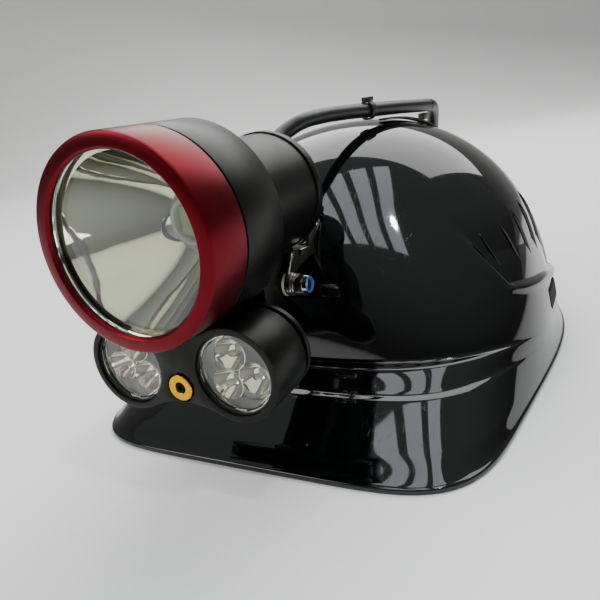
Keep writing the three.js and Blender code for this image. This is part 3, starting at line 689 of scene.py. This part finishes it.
# %% [markdown]
# ## The main lamp
# Everything on the lamp's axis is turned, so each piece is its cross-section spun about Y. The bezel has a
# broad front face and a chamfer that catches the light. A dark groove parts it from the black head.

# %% Bezel, head, neck and rear cap
OPENING = 29.5
WALL = 2.4
GROOVE = 18.4

bezel = turned([
    (OPENING, 1.0), (OPENING + 0.6, 0.25), (OPENING + 0.9, 0), (HEAD_RADIUS - 1.1, 0),
    (HEAD_RADIUS - 0.35, 0.45), (HEAD_RADIUS, 1.2), (HEAD_RADIUS, GROOVE - 0.4), (HEAD_RADIUS - 0.4, GROOVE),
    (HEAD_RADIUS - WALL, GROOVE), (HEAD_RADIUS - WALL, 7.6), (31.6, 7.6), (31.6, 1.6), (OPENING, 1.6)], 160)
piece("bezel", bezel, RED, "lamp", ["bezel_ring"], LAMP)

head = turned([
    (32.3, 8.2), (32.3, GROOVE + 0.5), (HEAD_RADIUS - 1.0, GROOVE + 0.5), (HEAD_RADIUS - 0.1, GROOVE + 0.8),
    (HEAD_RADIUS, GROOVE + 1.2), (HEAD_RADIUS, 41.2), (HEAD_RADIUS - 0.3, 41.8), (HEAD_RADIUS - 1.0, 42),
    (21.8, 42), (21.8, 39), (31.6, 32), (31.6, 8.2)], 160)
piece("lamp_head", head, BLACK, "lamp", ["head_housing"], LAMP)

neck = turned([(22, 42.3), (24.6, 42.3), (25, 42.7), (25, 88.3), (24.6, 88.7), (22, 88.7)], 128)
piece("lamp_neck", neck, BLACK, "lamp", ["neck_tube"], LAMP)

rear_cap = merged_copy("rear_cap", 0.35)
piece("lamp_rear_cap", rear_cap, BLACK, "lamp", ["rear_cap"])

# %% [markdown]
# ## Lens, reflector and the light source
# The reflector is a paraboloid with its focus at the emitter, which is what throws a narrow beam. Its skin
# is made from the formula, in many steps, since a mirror shows every flat. The source is a square emitter
# on a star board, seen through a pale ring in the reflector's floor.

# %% Optics of the main lamp
MOUTH, MOUTH_Y, VERTEX_Y, FOCUS, HOLE = 28.8, 6.3, 43.4, 5.7, 9.4


def paraboloid(radius):
    return VERTEX_Y - radius ** 2 / (4 * FOCUS)


bowl = [HOLE + (MOUTH - HOLE) * i / 40 for i in range(41)]
reflector = turned([(r, paraboloid(r)) for r in bowl] + [(31.2, MOUTH_Y), (31.2, MOUTH_Y + 0.9)]
                   + [(r + 0.8, paraboloid(r) + 0.8) for r in reversed(bowl)], 160)
piece("lamp_reflector", reflector, MIRROR, "lamp", ["reflector"], LAMP, crease=50)

lens = turned([(0, 3.4), (30.9, 3.4), (31.2, 3.7), (31.2, 5.7), (30.9, 6.0), (0, 6.0)], 128)
piece("lens", lens, GLASS, "lamp", ["lens_glass"], LAMP)

seal = turned([(30.4, 2.2), (30.7, 1.9), (31.2, 1.9), (31.3, 2.3), (31.3, 3.1), (30.4, 3.1)], 128)
piece("lens_seal", seal, RUBBER, "lamp", ["bezel_seal"], LAMP)

source_ring = turned([(7.7, 38.0), (8.1, 37.6), (8.9, 37.6), (9.0, 38.0), (9.0, 41.3), (7.7, 41.3)], 64)
piece("source_ring", source_ring, PALE, "lamp", ["led_ring"], LAMP)

emitter = bmesh.new()
bmesh.ops.create_cube(emitter, size=1)
bmesh.ops.scale(emitter, verts=emitter.verts, vec=(11, 2.4, 11))
soften(emitter, 0.5)
front_face = min(emitter.faces, key=lambda f: f.calc_center_median().y)
bmesh.ops.inset_region(emitter, faces=[front_face], thickness=1.6, depth=0.0)
piece("emitter", emitter, PHOSPHOR, "lamp", ["led_emitter"], LAMP + Vector((0, 40.1, 0)))

# %% [markdown]
# ## The twin lamp
# Two barrels are milled from one block, and a web joins them whose edges curve in between. The outline is
# four arcs. The bores are holes in the drawn face, so extruding it gives the walls as well.

# %% Body of the twin
def twin_outline(inset):
    """Two arcs of the barrels and two of the waist, which touch them."""
    barrel, waist = BARREL_RADIUS - inset, 12.1 - inset
    sweep = (BARREL_SPACING ** 2 + waist ** 2 - barrel ** 2) / (2 * (barrel - waist))
    height = waist + sweep
    meet = math.atan2(height, BARREL_SPACING)

    def arc(x, z, radius, begin, end, count):
        turns = [begin + (end - begin) * i / count for i in range(count)]
        return [(x + radius * math.cos(t), z + radius * math.sin(t)) for t in turns]

    return (arc(BARREL_SPACING, 0, barrel, meet - math.pi, math.pi - meet, 64)
            + arc(0, height, sweep, -meet, meet - math.pi, 16)
            + arc(-BARREL_SPACING, 0, barrel, meet, 2 * math.pi - meet, 64)
            + arc(0, -height, sweep, math.pi - meet, meet, 16))


WASHER_Z = -6.3
LENS_RADIUS = 14.7
twin_holes = [circle(LENS_RADIUS + 0.2, (side * BARREL_SPACING, 0), 72) for side in (-1, 1)]
twin_body = plate([twin_outline(0), *twin_holes, circle(5.6, (0, WASHER_Z), 48)], 20.1)
soften(twin_body, 0.35, 60)
piece("twin_body", twin_body, BLACK, "lamp", ["twin_housing"], TWIN)

twin_back = plate([twin_outline(0.4)], 2.0)
soften(twin_back, 0.4, 60)
piece("twin_back", twin_back, BLACK, "lamp", ["twin_rear_cover"],
      TWIN + Vector((0, 22.7, 0)))

# The counterbore of the washer has a floor.
floor = turned([(0, 0.9), (5.6, 0.9), (5.6, 1.6), (0, 1.6)], 48)
piece("twin_counterbore", floor, BLACK, "lamp", at=TWIN + Vector((0, 0, WASHER_Z)))

# %% [markdown]
# ## Triple optics
# Each barrel holds one acrylic disc with three cones behind it, each over its own small LED. A cone
# reflects inside itself, and from outside it looks like a silvered cup. It is built as one: a mirrored cup
# with a clear disc over all three, which gives the same look with far less scatter.

# %% Optics of the twin
CUP_REACH = 6.6
CUP_RADIUS = 6.0
for side_name, side in (("left", 1), ("right", -1)):
    barrel_at = TWIN + Vector((side * BARREL_SPACING, 0, 0))
    disc = turned([(0, 1.9), (LENS_RADIUS - 1.5, 1.9), (LENS_RADIUS - 1.1, 1.5), (LENS_RADIUS - 0.7, 1.5),
                   (LENS_RADIUS - 0.2, 2.1), (LENS_RADIUS - 0.2, 3.3), (LENS_RADIUS - 0.6, 3.6), (0, 3.6)], 96)
    piece("twin_lens_" + side_name, disc, ACRYLIC, "lamp", ["twin_optic_" + side_name],
          barrel_at)
    for i in range(3):
        turn = math.radians(90 + 120 * i + 15 * side)
        cup_at = barrel_at + Vector((CUP_REACH * math.cos(turn), 0, CUP_REACH * math.sin(turn)))
        steps = [step / 12 for step in range(13)]
        inner = [(1.7 + (CUP_RADIUS - 1.9) * s ** 0.6, 9.6 - 5.6 * s) for s in steps]
        outer = [(r + 0.25, y + 0.1) for r, y in reversed(inner)]
        piece(f"twin_cup_{side_name}_{i + 1}", turned(inner + outer, 48), MIRROR, "lamp",
              at=cup_at, crease=60)
        dot = turned([(0, 9.0), (1.2, 9.2), (1.5, 9.7), (0, 9.7)], 24)
        piece(f"twin_source_{side_name}_{i + 1}", dot, PHOSPHOR, "lamp", at=cup_at)
    holder = turned([(0, 10.0), (12.9, 10.0), (13.6, 4.0), (14.3, 4.0), (14.3, 10.6), (0, 10.6)], 72)
    piece("twin_holder_" + side_name, holder, MIRROR, "lamp", at=barrel_at)
    rim_seal = turned([(14.2, 1.1), (14.3, 1.0), (LENS_RADIUS - 0.1, 1.0), (LENS_RADIUS - 0.1, 1.4),
                       (14.2, 1.4)], 96)
    piece("twin_rim_seal_" + side_name, rim_seal, RUBBER, "lamp", ["twin_seal_" + side_name],
          barrel_at)

# %% [markdown]
# ## Screws, nuts and washers
# A lock nut is a hexagon with turned corners and a round collar that holds a blue nylon ring. The bolt's
# end shows inside the ring. Washers are flat rings with a softened rim. Their places are the CAD's.

# %% Hardware of the pivot and the twin
gold = turned([(2.15, -0.5), (2.35, -0.7), (4.7, -0.7), (4.9, -0.5), (4.9, 0.5), (2.15, 0.5)], 64)
piece("gold_washer", gold, GOLD, "lamp", ["twin_washer"], TWIN + Vector((0, 0, WASHER_Z)))
for node, name, width, material, slot in (
        ("twin_screw", "twin_socket_screw", 0.15, BLACK_STEEL, "black_steel"),
        ("lamp_foot", "tilting_foot", 0.6, BLACK, "black_anodised"),
        ("cable_gland", "strain_relief", 0.25, NYLON, "black_nylon"),
        ("friction_washer_left", "pivot_liner_left", 0.15, PALE, "pale_nylon"),
        ("friction_washer_right", "pivot_liner_right", 0.15, PALE, "pale_nylon")):
    piece(name, merged_copy(node, width), material, "lamp", [node])
for node, name, width in (
        ("lamp_bracket", "steel_bracket", 0.3), ("pivot_bolt", "pivot_screw", 0.25),
        ("washer_head", "washer_under_head", 0.2), ("washer_plain", "flat_washer", 0.2),
        ("washer_spring", "second_washer", 0.2), ("lock_nut", "nylon_lock_nut", 0.3),
        ("bracket_screw_left", "plate_screw_left", 0.2), ("bracket_screw_right", "plate_screw_right", 0.2),
        ("bracket_nut_left", "plate_nut_left", 0.25), ("bracket_nut_right", "plate_nut_right", 0.25)):
    piece(name, merged_copy(node, width), STEEL, "helmet", [node])
for node, name, width, material, slot in (
        ("lock_nut_insert", "blue_nylon_ring", 0.1, BLUE, "blue_nylon"),
        ("cable_post", "crown_post", 0.5, SMOKED, "smoked_plastic"),
        ("cable_tie", "crown_tie", 0.15, NYLON, "black_nylon"),
        ("guide_strip", "crown_strip", 0.25, NYLON, "black_nylon"),
        ("lead_plug", "battery_plug", 0.5, NYLON, "black_nylon"),
        ("nape_housing", "ratchet_housing", 0.8, NYLON, "black_nylon")):
    piece(name, merged_copy(node, width), material, "helmet", [node])
piece("size_wheel", merged_copy("ratchet_knob", 0.3, 50), NYLON, "size_knob", ["ratchet_knob"])
piece("rubber_button", merged_copy("switch_button", 0.3), RUBBER, "button", ["switch_button"])

# %% [markdown]
# ## The coil's tie
# A soft strap holds the turns together. It is a ring that follows the outline of the bundle, and the turns
# rise a little there so that it passes under them without cutting into the floor.

# %% Coil tie
def coil_tie():
    """A flat ring about the bundle of turns, on the coil's -X side."""
    bm = bmesh.new()
    ring = bmesh.ops.create_circle(bm, cap_ends=False, radius=1.0, segments=40)["verts"]
    for vert in ring:
        angle = math.atan2(vert.co.y, vert.co.x)
        wide, tall = 8.1 * abs(math.cos(angle)) ** 0.75, 7.3 * abs(math.sin(angle)) ** 0.75
        vert.co = Vector((math.copysign(wide, math.cos(angle)), 0, math.copysign(tall, math.sin(angle))))
    sides = bmesh.ops.extrude_edge_only(bm, edges=bm.edges[:])
    moved = [v for v in sides["geom"] if isinstance(v, bmesh.types.BMVert)]
    bmesh.ops.translate(bm, verts=moved, vec=(0, 9, 0))
    bmesh.ops.solidify(bm, geom=bm.faces[:], thickness=0.7)
    return bm


tie = piece("coil_tie", coil_tie(), NYLON, "helmet",
            at=COIL_CENTRE + Vector((-40, -4.5, 8.3)), crease=50)

# %% [markdown]
# ## The harness
# Inside, a plastic headband goes round the head. Two webbing straps cross over the crown, from keys that
# push into the shell. The sweatband lines the band at the forehead, as leather over a thin foam.

# %% Headband, sweatband and straps
BAND_CENTRE = Vector((0, 33, 0))


def oval_band(half_width, half_length, low, high, wall, begin=0.0, end=360.0, crown=0.0, count=144):
    """A strip that stands on part of an oval, with a crowned inner face if crown is over 0."""
    bm = bmesh.new()
    closed = end - begin >= 360
    rows = 7 if crown else 2
    columns = []
    for i in range(count + (0 if closed else 1)):
        turn = math.radians(begin + (end - begin) * i / count)
        direction = Vector((half_width * math.cos(turn), half_length * math.sin(turn), 0))
        inwards = -direction.normalized()
        fade = 1.0 if closed else min(1.0, 8 * i / count, 8 * (1 - i / count)) ** 0.5
        inner = []
        for j in range(rows):
            up = j / (rows - 1)
            swell = crown * math.sin(math.pi * up) * fade
            height_up = Vector((0, 0, low + (high - low) * up))
            inner.append(bm.verts.new(direction + inwards * (wall + swell) + height_up))
        outer = [bm.verts.new(direction + Vector((0, 0, z))) for z in (high, low)]
        columns.append(inner + outer)
    pairs = zip(columns, columns[1:] + columns[:1]) if closed else zip(columns, columns[1:])
    for a, b in pairs:
        for j in range(len(a)):
            k = (j + 1) % len(a)
            bm.faces.new((a[j], a[k], b[k], b[j]))
    if not closed:
        bm.faces.new(columns[0])
        bm.faces.new(columns[-1])
    return bm


band = oval_band(half_width=79, half_length=92, low=12, high=42, wall=1.8)
soften(band, 0.5, 60)
piece("plastic_headband", band, NYLON, "helmet", ["headband"], BAND_CENTRE)
lining = oval_band(half_width=76.9, half_length=89.9, low=13, high=41, wall=1.4, begin=211, end=329, crown=1.6,
                   count=72)
sweat = piece("leather_sweatband", lining, LEATHER, "helmet", ["sweatband"], BAND_CENTRE,
              crease=60)


def strap(lift, turn):
    """A webbing strap over half an ellipse, 18 mm wide and 1.5 mm thick, with thicker woven edges."""
    bm = bmesh.new()
    half, rise, wall = 91.4, 46 + lift, 1.5
    across = [-9, -8.2, -7.4, 7.4, 8.2, 9]
    swell = [0, 0.2, 0, 0, 0.2, 0]
    rings = []
    for i in range(73):
        angle = math.pi * i / 72
        out = Vector((half * math.cos(angle), 0, rise * math.sin(angle)))
        inward = -Vector((math.cos(angle) / half, 0, math.sin(angle) / rise)).normalized()
        over = [bm.verts.new(out + Vector((0, y, 0))) for y in across]
        under = [bm.verts.new(out + Vector((0, y, 0)) + inward * (wall + s)) for y, s in zip(across, swell)]
        rings.append(over + under[::-1])
    for a, b in zip(rings, rings[1:]):
        for j in range(12):
            bm.faces.new((a[j], a[(j + 1) % 12], b[(j + 1) % 12], b[j]))
    bm.faces.new(rings[0])
    bm.faces.new(rings[-1])
    bmesh.ops.rotate(bm, verts=bm.verts, cent=(0, 0, 0), matrix=Matrix.Rotation(turn, 3, "Z"))
    return bm


STRAP_FOOT = Vector((0, 33, 44))
piece("webbing_strap_lower", strap(0, math.pi / 4), WEBBING, "helmet", ["crown_strap_lower"],
      STRAP_FOOT)
piece("webbing_strap_upper", strap(1.8, -math.pi / 4), WEBBING, "helmet",
      ["crown_strap_upper"], STRAP_FOOT)
for where in ("front_left", "rear_left", "rear_right", "front_right"):
    key = merged_copy("key_" + where, 0.6)
    piece("harness_" + where, key, NYLON, "helmet", ["key_" + where])

# %% [markdown]
# ## Finishes of the CAD nodes that stay
# The inner parts of the lamp keep their CAD shape, which is right, and take the same finishes.

# %% Carried-over nodes
for names, material in (
        (("led_board", "driver_board", "twin_led_board_left", "twin_led_board_right"), BOARD),
        (("heat_sink_pill",), ALUMINIUM),
        (("switch_module",), NYLON)):
    for name in names:
        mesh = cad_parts[name].data
        mesh.materials.clear()
        mesh.materials.append(material)
        print("finish of", name, "is", material.name)

# %% [markdown]
# ## Stage and light
# A pale floor sweeps up behind the lamp, as in a product studio, so that the ground ends nowhere. A gloss
# black shell is drawn by what it reflects. Large soft lights hang behind and above it and paint the crown
# grey. A bank of soft strips in front gives the long bars on the dome and the streaks in the reflector. The
# room in front stays dim, so that the lower dome stays black. One small round lamp makes the highlight.

# %% Floor and backdrop
sweep_bm = bmesh.new()
profile = [(-5.0, 0.0), (1.6, 0.0)]
profile += [(1.6 + 1.2 * math.sin(math.radians(degrees)), 1.2 - 1.2 * math.cos(math.radians(degrees)))
            for degrees in range(9, 91, 9)]
profile.append((2.8, 4.5))
line = [sweep_bm.verts.new((-6, y, z)) for y, z in profile]
sides = [sweep_bm.edges.new(pair) for pair in zip(line, line[1:])]
grown = bmesh.ops.extrude_edge_only(sweep_bm, edges=sides)
bmesh.ops.translate(sweep_bm, verts=[v for v in grown["geom"] if isinstance(v, bmesh.types.BMVert)],
                    vec=(12, 0, 0))
bmesh.ops.rotate(sweep_bm, verts=sweep_bm.verts, cent=(0, 0, 0), matrix=Matrix.Rotation(AZIMUTH, 3, "Z"))
bmesh.ops.recalc_face_normals(sweep_bm, faces=sweep_bm.faces)
sweep_mesh = bpy.data.meshes.new("floor")
sweep_bm.to_mesh(sweep_mesh)
sweep_bm.free()
for polygon in sweep_mesh.polygons:
    polygon.use_smooth = True
pale, floor_tree, floor_shader, floor_place = start("matt_pale_floor", "f1f1ef", 0.8)
tint(floor_tree, floor_shader, noise(floor_tree, floor_place, 400.0), "efefed", "f3f3f1")
sweep_mesh.materials.append(pale)
stage_floor = bpy.data.objects.new("floor", sweep_mesh)
bpy.context.collection.objects.link(stage_floor)
print("floor and backdrop are up")

# %% [markdown]
# The world is a soft upright gradient: bright overhead, dim at eye level. Nothing in it has an edge.

# %% World
world = bpy.data.worlds.new("studio")
world.use_nodes = True
sky_tree = world.node_tree
sky_place = add(sky_tree, "ShaderNodeTexCoord").outputs["Generated"]
height = add(sky_tree, "ShaderNodeSeparateXYZ", {0: sky_place}).outputs["Z"]
ramp = add(sky_tree, "ShaderNodeMapRange", {
    "Value": height, "From Min": 0.1, "From Max": 0.85, "To Min": 0.1, "To Max": 0.75})
sky = add(sky_tree, "ShaderNodeMix", {0: ramp.outputs[0], 6: (0.09, 0.085, 0.07, 1), 7: (0.86, 0.9, 0.9, 1)},
          data_type="RGBA")
sky_tree.links.new(sky.outputs[2], sky_tree.nodes["Background"].inputs["Color"])
sky_tree.nodes["Background"].inputs["Strength"].default_value = 0.6
bpy.context.scene.world = world
print("world is a gradient")


# %% [markdown]
# Lights are placed by what they must do: each stands at a place and faces a point near the lamp.

# %% Lights
def soft_light(name, at, aim, size, watts, width=None, shape="RECTANGLE", colour=(1, 1, 1)):
    data = bpy.data.lights.new(name, "AREA")
    data.shape = shape
    data.size, data.size_y = width or size, size
    data.energy = watts
    data.color = colour
    made = bpy.data.objects.new(name, data)
    made.location = at
    made.rotation_euler = (Vector(aim) - Vector(at)).to_track_quat("-Z", "Y").to_euler()
    bpy.context.collection.objects.link(made)
    return made


soft_light("crown_light", (-0.1, 1.2, 1.5), (0, 0.05, 0.1), size=1.5, watts=46, width=2.4)
soft_light("front_fill", (-1.5, -1.6, 1.7), (0, -0.1, 0.05), size=1.2, watts=26)
across = Vector((math.cos(AZIMUTH), math.sin(AZIMUTH), 0))
for i in range(4):  # one row of parallel strips, each running towards the viewer
    middle = Vector((0.18, -0.3, 1.15)) + across * (0.22 * i - 0.42)
    below = middle - Vector((0, 0, 1))
    strip = soft_light(f"strip_{i + 1}", middle, below, size=0.9, watts=1.6, width=0.15,
                       colour=(0.9, 0.96, 1.0))
    strip.rotation_euler = (0, 0, AZIMUTH)  # straight down, with its length towards the viewer
soft_light("highlight", (0.572, -0.408, 1.213), (0.045, -0.04, 0.083), size=0.06, watts=2.4, shape="DISK")
print("lights are set")
